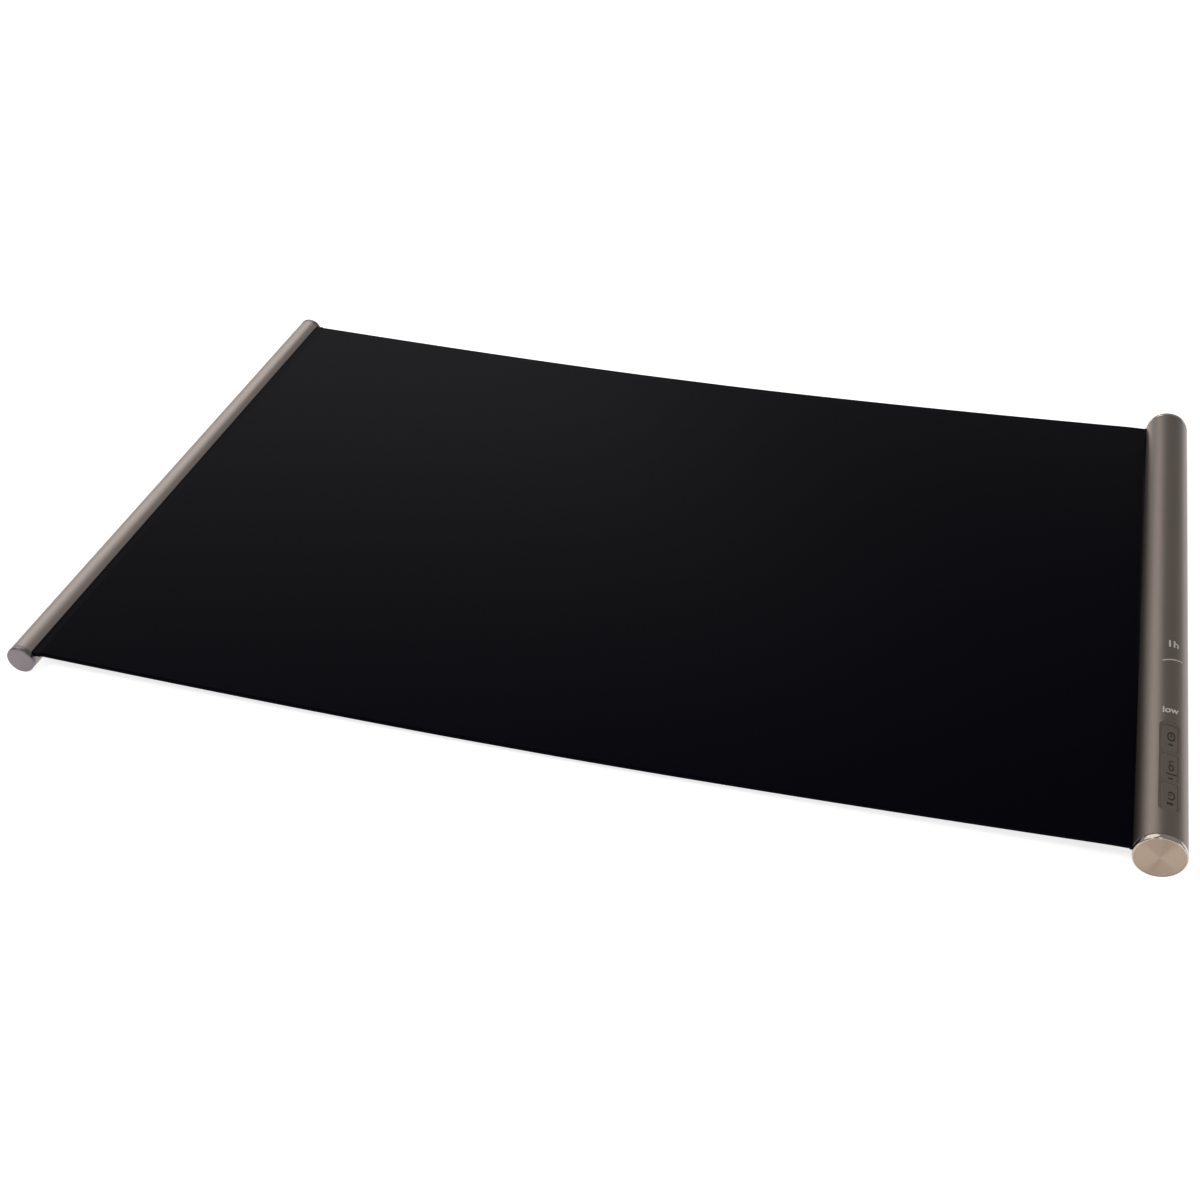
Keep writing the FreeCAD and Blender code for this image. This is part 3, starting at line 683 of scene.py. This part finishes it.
def mat():
    """The sheet in stretches, from the middle of one strip to the next one's, each reaching across one hinge
    and shaped to the mat's hanging curve.
    """
    hinges = [joint for joint in frame["joints"] if joint["type"] == "hinge"]
    bends = [joint["pos_m"][0] for joint in hinges]
    middles = [MAT_SLOT_X]
    for right, left in zip(bends, bends[1:] + [MAT_LEFT_X]):
        middles.append((right + left) / 2)
    for i, joint in enumerate(hinges):
        number = f"{i + 1:02d}"
        right, left = middles[i], middles[i + 1]
        laps = [way for way, open_end in ((1, i > 0), (-1, i < len(hinges) - 1)) if open_end]
        sheet = mat_piece(f"mat_sheet_{number}", right, left, laps)
        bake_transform(sheet)
        if i < len(hinges) - 1:
            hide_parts(f"mat_strip_{number}")
        nodes = [f"heating_foil_{j:02d}" for j in (i, i + 1) if 1 <= j < len(hinges)]
        foil = foil_piece(f"foil_track_{number}", nodes, right, left)
        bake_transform(foil)
        if i < len(hinges) - 1:
            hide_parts(f"heating_foil_{number}")
    last = hinges[-1]["child"]
    last_strip = f"mat_strip_{len(hinges):02d}"
    mat_piece("mat_sheet_end", middles[-1], MAT_LEFT_X, body=last, replaces=[last_strip])
    finish = FINISHES["mat_silicone"]
    kept_part(
        "mat_hem_left",
        last_strip,
        (MAT_LEFT_X, 0, 0),
        (1, 0, 0),
        finish,
        body=last,
        slot="mat_silicone",
    )
    kept_part(
        "mat_hem_right",
        "mat_hem_control",
        (MAT_SLOT_X, 0, 0),
        (-1, 0, 0),
        finish,
        body="control_bar",
        slot="mat_silicone",
        replaces=["mat_hem_control"],
    )


# The tubes and their ends


def tubes():
    """The two slotted steel tubes."""
    half_slot = degrees(asin(SLOT_HALF / CONTROL_RADIUS))
    window_across = 2 * CONTROL_RADIUS * asin(RECESS_HALF_WIDTH / CONTROL_RADIUS)
    openings = [
        (FACE_ANGLE, RECESS_Y, window_across, RECESS_LENGTH, RECESS_CORNER),
        (-90, -SCREW_Y, 2 * SCREW_HOLE, 2 * SCREW_HOLE, SCREW_HOLE),
        (-90, SCREW_Y, 2 * SCREW_HOLE, 2 * SCREW_HOLE, SCREW_HOLE),
    ]
    open_tube(
        "control_tube_shell",
        CONTROL_RADIUS,
        CONTROL_WALL,
        CONTROL_X,
        CONTROL_Z,
        (180 - half_slot, half_slot - 180),
        openings,
        FINISHES["tube_steel"],
        body="control_bar",
        slot="tube_steel",
        replaces=["control_tube"],
    )
    low = degrees(asin(GRIP_SLOT_LOW / GRIP_RADIUS))
    high = degrees(asin(GRIP_SLOT_HIGH / GRIP_RADIUS))
    open_tube(
        "grip_tube_shell",
        GRIP_RADIUS,
        GRIP_WALL,
        GRIP_X,
        GRIP_Z,
        (360 + low, high),
        [],
        # paler copy of the brushed steel: painted light on the slim tube
        STEEL_PAINTED_LIGHTER,
        body="grip_bar",
        slot="tube_steel",
        replaces=["grip_tube"],
    )


def collar(name, way, bore, node, finish, slot):
    """The turned collar at one end of the control tube, with a fine gap line where it meets the wall."""
    outer, inner = way * CAP_OUTER, way * TUBE_HALF
    gap, sink = way * COLLAR_GAP, COLLAR_SINK
    radius = CONTROL_RADIUS
    profile = [
        (bore, outer),
        (radius, outer),
        (radius, inner + gap),
        (radius - sink, inner + gap),
        (radius - sink, inner),
        (bore, inner),
    ]
    rounds = [(radius, outer, COLLAR_EDGE), (radius, inner + gap, COLLAR_GAP_EDGE)]
    if node == "front_cap_ring":
        pocket = outer - way * DISC_POCKET
        profile[0:1] = [(PLUG_BORE, pocket), (bore, pocket), (bore, outer)]
        profile[-1] = (PLUG_BORE, inner)
    lathe(name, profile, CONTROL_X, CONTROL_Z, finish, rounds, body="control_bar", slot=slot, replaces=[node])


def tube_ends():
    """Collars and disc on the control tube, flat caps on the grip tube."""
    collar("front_collar", -1, DISC_BORE, "front_cap_ring", FINISHES["cap_chrome"], "cap_chrome")
    collar("back_collar", 1, INLET_BORE, "back_cap_ring", FINISHES["cap_chrome"], "cap_chrome")
    face = -CAP_OUTER + DISC_SET_BACK
    foot = -CAP_OUTER + DISC_POCKET
    radius = DISC_RADIUS
    lathe(
        "front_disc",
        [(0, face), (radius, face), (radius, foot), (0, foot)],
        CONTROL_X,
        CONTROL_Z,
        FINISHES["spun_disc"],
        [(radius, face, DISC_EDGE)],
        body="control_bar",
        slot="spun_disc",
        replaces=["front_cap_disc"],
    )
    for name, way in (("front", -1), ("back", 1)):
        outer, inner = way * CAP_OUTER, way * TUBE_HALF
        gap, sink = way * CAP_GAP, CAP_SINK
        profile = [
            (0, outer),
            (GRIP_RADIUS, outer),
            (GRIP_RADIUS, inner + gap),
            (GRIP_RADIUS - sink, inner + gap),
            (GRIP_RADIUS - sink, inner),
            (0, inner),
        ]
        rounds = [(GRIP_RADIUS, outer, CAP_EDGE), (GRIP_RADIUS, inner + gap, CAP_GAP_EDGE)]
        lathe(
            f"grip_end_{name}",
            profile,
            GRIP_X,
            GRIP_Z,
            FLAT_CAP,
            rounds,
            body="grip_bar",
            slot="cap_chrome",
            replaces=[f"grip_cap_{name}"],
        )
        kept_part(
            f"grip_plug_{name}",
            f"grip_cap_{name}",
            (0, inner, 0),
            (0, way, 0),
            FLAT_CAP,
            body="grip_bar",
            slot="cap_chrome",
        )


# Marks: signs on the keys, and the level and timer marks on the tube


def bar(bm, width, length, x, y):
    """A flat stroke of the given width across the tube and length along it."""
    made = bmesh.ops.create_grid(bm, x_segments=1, y_segments=1, size=0.5)
    bmesh.ops.scale(bm, vec=(width, length, 1), verts=made["verts"])
    bmesh.ops.translate(bm, vec=(x, y, 0), verts=made["verts"])


def ring(bm, half_width, half_length, x, y, gap=0, gap_at=90):
    """A flat ring stroke, open over the gap's degrees."""
    first = bm.verts.new((1.0, 0, 0))
    second = bm.verts.new((1.0 - STROKE / half_width, 0, 0))
    turn = radians(360 - gap)
    bmesh.ops.spin(
        bm,
        geom=[first, second, bm.edges.new((first, second))],
        cent=(0, 0, 0),
        axis=(0, 0, 1),
        dvec=(0, 0, 0),
        angle=turn,
        steps=40,
        use_merge=gap == 0,
        use_normal_flip=False,
        use_duplicate=False,
    )
    loop = {first, second}
    grown = True
    while grown:
        near = {e.other_vert(v) for v in loop for e in v.link_edges}
        grown = not near <= loop
        loop |= near
    loop = list(loop)
    opened = Matrix.Rotation(radians(gap_at + gap / 2), 3, "Z")
    bmesh.ops.rotate(bm, cent=(0, 0, 0), matrix=opened, verts=loop)
    bmesh.ops.scale(bm, vec=(half_width, half_length, 1), verts=loop)
    bmesh.ops.translate(bm, vec=(x, y, 0), verts=loop)


def power_sign(bm):
    """A stroke, then an open ring with a stroke in its gap."""
    bar(bm, 3.1 * MM, 1.7 * MM, 0.25 * MM, -5.1 * MM)
    ring(bm, 1.9 * MM, 3.1 * MM, 0.8 * MM, 0.5 * MM, gap=70, gap_at=180)
    bar(bm, 1.9 * MM, STROKE, 0.2 * MM, 1.0 * MM)


def heat_sign(bm):
    """Two strokes, then a small ring with two feelers."""
    bar(bm, 2.5 * MM, 1.1 * MM, 0.55 * MM, -8.4 * MM)
    bar(bm, 5.3 * MM, 1.0 * MM, 0.85 * MM, -5.2 * MM)
    ring(bm, 1.4 * MM, 2.3 * MM, 0.8 * MM, -0.5 * MM)
    bar(bm, STROKE, 3.0 * MM, 0.1 * MM, 3.0 * MM)
    bar(bm, 1.6 * MM, STROKE, 1.2 * MM, 4.4 * MM)


def timer_sign(bm):
    """A stroke, then a clock face with two hands."""
    bar(bm, 2.5 * MM, 1.2 * MM, 0.4 * MM, -4.6 * MM)
    ring(bm, 2.05 * MM, 3.5 * MM, 0.7 * MM, 1.7 * MM)
    bar(bm, STROKE, 2.2 * MM, 0.5 * MM, 2.6 * MM)
    bar(bm, 1.3 * MM, STROKE, 1.0 * MM, 1.7 * MM)


def lay_on_face(bm):
    """Turns what is drawn over the tube's axis to the control face, which leans a little outwards."""
    lean = Matrix.Rotation(radians(90 - FACE_ANGLE), 4, "Y")
    place = Matrix.Translation((CONTROL_X, 0, CONTROL_Z))
    bmesh.ops.transform(bm, matrix=place @ lean, verts=bm.verts)


def rise(x, y):
    """How far the control face curves up towards the tube at its ends and sides: nought to one."""
    half = RECESS_LENGTH / 2
    far = (y - RECESS_Y - half + SCOOP_FAR) / SCOOP_FAR
    near = (RECESS_Y - half + SCOOP_NEAR - y) / SCOOP_NEAR
    side = (abs(x) - RECESS_HALF_WIDTH + SCOOP_SIDE) / SCOOP_SIDE
    return min(1.0, max(far, near, side, 0.0)) ** 2


def face_height(x, y, level):
    """Height of the control face over the tube's axis, from its flat level up to just under the tube's."""
    under = (CONTROL_RADIUS**2 - x**2) ** 0.5 - TRIM_DEPTH
    return level + max(0.0, under - level) * rise(x, y)


def recess_trim():
    """The thin trim that lines the recess, flat round the keys and scooped up at its edges."""
    bm = bmesh.new()
    width = 2 * (RECESS_HALF_WIDTH - TRIM_GAP)
    length = RECESS_LENGTH - 2 * TRIM_GAP
    outline(bm, width, length, RECESS_CORNER - TRIM_GAP, 0, RECESS_Y)
    for y in KEY_PLACES.values():
        across, along = (side + 2 * TRIM_GAP for side in KEY_CAP)
        outline(bm, across, along, KEY_CORNER + TRIM_GAP, 0, y)
    upward_face(bm)
    cut_across(bm, 0, spaced(-width / 2, width / 2, 20))
    cut_across(bm, 1, spaced(RECESS_Y - length / 2, RECESS_Y + length / 2, 100))
    bmesh.ops.solidify(bm, geom=bm.faces[:], thickness=TRIM_SKIN)
    top = max(v.co.z for v in bm.verts)
    for v in bm.verts:
        v.co.z += face_height(v.co.x, v.co.y, TRIM_TOP) - top
    lay_on_face(bm)
    finish_piece("recess_trim", bm, FINISHES["tray_plastic"], body="control_bar", slot="tray_plastic")


def keys():
    """The three keys: a soft-edged cap on a ledge that keeps it in, and a stem that reaches its switch."""
    low, ledge = KEY_LEVELS
    for name, y in KEY_PLACES.items():
        bm = bmesh.new()
        across, along = (side + 2 * KEY_LEDGE for side in KEY_CAP)
        outline(bm, across, along, KEY_CORNER + KEY_LEDGE, 0, y)
        face = bmesh.ops.contextual_create(bm, geom=bm.edges[:])["faces"][0]
        bmesh.ops.translate(bm, vec=(0, 0, low), verts=bm.verts)
        face = pulled(bm, face, (0, 0, ledge - low))
        bmesh.ops.inset_region(bm, faces=[face], thickness=KEY_LEDGE, use_even_offset=True)
        face = pulled(bm, face, (0, 0, KEY_TOP - ledge))
        bmesh.ops.holes_fill(bm, edges=[e for e in bm.edges if e.is_boundary], sides=0)
        soften(bm, face.edges[:], KEY_EDGE, 3)
        cut_across(bm, 0, spaced(-KEY_CAP[0] / 2, KEY_CAP[0] / 2, 16))
        cut_across(bm, 1, spaced(y - KEY_CAP[1] / 2, y + KEY_CAP[1] / 2, 30))
        for v in bm.verts:
            if v.co.z > KEY_TOP - KEY_TOP_DEPTH:
                v.co.z += face_height(v.co.x, v.co.y, KEY_TOP) - KEY_TOP
        radius, tip = KEY_STEM
        stem = bmesh.ops.create_cone(
            bm,
            cap_ends=True,
            segments=24,
            radius1=radius,
            radius2=radius,
            depth=low - tip + KEY_STEM_OVERLAP,
        )
        bmesh.ops.translate(bm, vec=(0, y, (low + tip + KEY_STEM_OVERLAP) / 2), verts=stem["verts"])
        bmesh.ops.recalc_face_normals(bm, faces=bm.faces[:])
        lay_on_face(bm)
        finish_piece(
            f"key_cap_{name}",
            bm,
            FINISHES["key_plastic"],
            body=f"key_{name}",
            slot="key_plastic",
            replaces=[f"key_{name}"],
        )


def key_signs():
    """The dark sign printed on each key."""
    for key, draw in (("power", power_sign), ("heat", heat_sign), ("timer", timer_sign)):
        bm = bmesh.new()
        draw(bm)
        cut_across(bm, 1, spaced(-SIGN_REACH, SIGN_REACH, 36))
        bmesh.ops.solidify(bm, geom=bm.faces[:], thickness=PRINT_HEIGHT)
        bmesh.ops.recalc_face_normals(bm, faces=bm.faces[:])
        bmesh.ops.translate(bm, vec=(0, KEY_PLACES[key], PRINT_HEIGHT), verts=bm.verts)
        for v in bm.verts:
            v.co.z += face_height(v.co.x, v.co.y, KEY_TOP)
        lay_on_face(bm)
        finish_piece(f"sign_{key}", bm, DARK_INK, body=f"key_{key}", slot="component_black")


def on_tube(name, bm, angle, y, slant):
    """Wraps a flat mark round the control tube, just over its surface."""
    reach = max(abs(v.co.x) for v in bm.verts)
    cut_across(bm, 0, spaced(-reach, reach, max(4, int(reach / MARK_STEP))))
    bmesh.ops.solidify(bm, geom=bm.faces[:], thickness=PRINT_HEIGHT)
    bmesh.ops.recalc_face_normals(bm, faces=bm.faces[:])
    for v in bm.verts:
        v.co += Vector((0, y + slant * v.co.x, PRINT_HEIGHT))
    wrap(bm, CONTROL_RADIUS, CONTROL_X, CONTROL_Z, angle)
    finish_piece(name, bm, PALE_INK, body="control_bar", slot="lamp_white")


def lettering(name, words, size, angle, y, slant):
    """Printed words, upright as seen from the front, fitted to a size and centred on a place of the tube."""
    curve = bpy.data.curves.new(name + "_text", "FONT")
    curve.body = words
    curve.offset = LETTER_BOLDNESS
    text = bpy.data.objects.new(name + "_text", curve)
    bpy.context.scene.collection.objects.link(text)
    bpy.context.view_layer.update()
    flat = bpy.data.meshes.new_from_object(text.evaluated_get(bpy.context.evaluated_depsgraph_get()))
    bpy.data.objects.remove(text)
    bm = bmesh.new()
    bm.from_mesh(flat)
    bpy.data.meshes.remove(flat)
    xs = [v.co.x for v in bm.verts]
    ys = [v.co.y for v in bm.verts]
    bmesh.ops.translate(bm, vec=(-(min(xs) + max(xs)) / 2, -(min(ys) + max(ys)) / 2, 0), verts=bm.verts)
    fitted = (size[0] / (max(xs) - min(xs)), size[1] / (max(ys) - min(ys)), 1)
    bmesh.ops.scale(bm, vec=fitted, verts=bm.verts)
    on_tube(name, bm, angle, y, slant)


def tube_marks():
    """The level mark, the light line and the timer mark."""
    lettering("mark_low", "low", (8.3 * MM, 5.0 * MM), 80, -104.4 * MM, 0.15)
    lettering("mark_hour", "1h", (5.5 * MM, 5.7 * MM), 74, -48.2 * MM, 0.15)
    bm = bmesh.new()
    bar(bm, CONTROL_RADIUS * radians(52), 0.8 * MM, 0, 0)
    on_tube("mark_line", bm, 75, -62 * MM, 0.35)


# Light, floor and camera


def area_lamp(name, size, power, place, target):
    """A soft rectangular lamp that faces a point."""
    lamp = bpy.data.lights.new(name, "AREA")
    lamp.shape = "RECTANGLE"
    lamp.size, lamp.size_y = size
    lamp.energy = power
    made = bpy.data.objects.new(name, lamp)
    made.location = place
    made.rotation_euler = (Vector(target) - Vector(place)).to_track_quat("-Z", "Y").to_euler()
    bpy.context.scene.collection.objects.link(made)


def seen_directly(tree):
    """One for rays from the camera and for reflections, nought for the light that falls on the object."""
    path = add(tree, "ShaderNodeLightPath")
    first = add(
        tree,
        "ShaderNodeMath",
        {"operation": "MAXIMUM"},
        {0: path.outputs["Is Camera Ray"], 1: path.outputs["Is Glossy Ray"]},
    )
    both = add(
        tree,
        "ShaderNodeMath",
        {"operation": "MAXIMUM"},
        {0: first.outputs[0], 1: path.outputs["Is Transmission Ray"]},
    )
    return both.outputs[0]


def floor():
    """A plain white floor that keeps the object's soft shadow."""
    made, tree, _ = blank("floor_white")
    lift = add(tree, "ShaderNodeMath", {"operation": "MULTIPLY"}, {0: seen_directly(tree), 1: FLOOR_GLOW})
    paint = add(tree, "ShaderNodeBsdfDiffuse", links={"Color": colour("#ffffff")})
    glow = add(tree, "ShaderNodeEmission", links={"Color": colour("#ffffff"), "Strength": lift.outputs[0]})
    both = add(tree, "ShaderNodeAddShader", links={0: paint.outputs[0], 1: glow.outputs[0]})
    close(made, tree, both.outputs[0])
    bm = bmesh.new()
    bmesh.ops.create_grid(bm, x_segments=1, y_segments=1, size=FLOOR_HALF)
    bmesh.ops.translate(bm, vec=(0, 0, -FLOOR_DROP), verts=bm.verts)
    finish_piece("floor", bm, made)


def world():
    """Even pale studio surroundings."""
    made = bpy.data.worlds.new("studio")
    bpy.context.scene.world = made
    made.use_nodes = True
    tree = made.node_tree
    tree.nodes.clear()
    seen = add(
        tree,
        "ShaderNodeMath",
        {"operation": "MULTIPLY_ADD"},
        {0: seen_directly(tree), 1: WORLD_SEEN_EXTRA, 2: WORLD_STRENGTH},
    )
    shader = add(
        tree,
        "ShaderNodeBackground",
        links={"Color": colour("#fbfaf8"), "Strength": seen.outputs[0]},
    )
    add(tree, "ShaderNodeOutputWorld", links={"Surface": shader.outputs[0]})


def camera():
    """The camera at the photograph's viewing angle."""
    lens = bpy.data.cameras.new("camera")
    lens.sensor_width = SENSOR
    lens.lens = LENS
    made = bpy.data.objects.new("camera", lens)
    ahead = Vector(
        (-sin(CAMERA_YAW) * cos(CAMERA_PITCH), cos(CAMERA_YAW) * cos(CAMERA_PITCH), -sin(CAMERA_PITCH))
    )
    level = Vector((cos(CAMERA_YAW), sin(CAMERA_YAW), 0))
    upward = level.cross(ahead)
    c, s = cos(CAMERA_ROLL), sin(CAMERA_ROLL)
    right = level * c + upward * s
    up = upward * c - level * s
    turn = Matrix((right, up, -ahead)).transposed().to_4x4()
    made.matrix_world = Matrix.Translation(CAMERA_AT) @ turn
    bpy.context.scene.collection.objects.link(made)
    bpy.context.scene.camera = made


dress_cad_nodes()
mat()
tubes()
tube_ends()
recess_trim()
keys()
key_signs()
tube_marks()
world()
floor()
camera()
area_lamp("softbox_back_left", (2.2, 1.5), 13.5, (-1.15, 1.42, 1.26), (0, 0, 0))
area_lamp("collar_lamp_front", (0.4, 0.25), 2.5, (0.15, -1.08, 1.27), (0.3, -0.2, 0))
area_lamp("cap_lamp_left", (0.35, 0.3), 3.0, (-0.75, -0.95, 1.3), (-0.3, -0.2, 0))
area_lamp("collar_lamp_right", (0.3, 0.5), 2.0, (1.5, -0.75, 0.45), (0.3, -0.2, 0))
bpy.context.scene.view_settings.view_transform = "Standard"
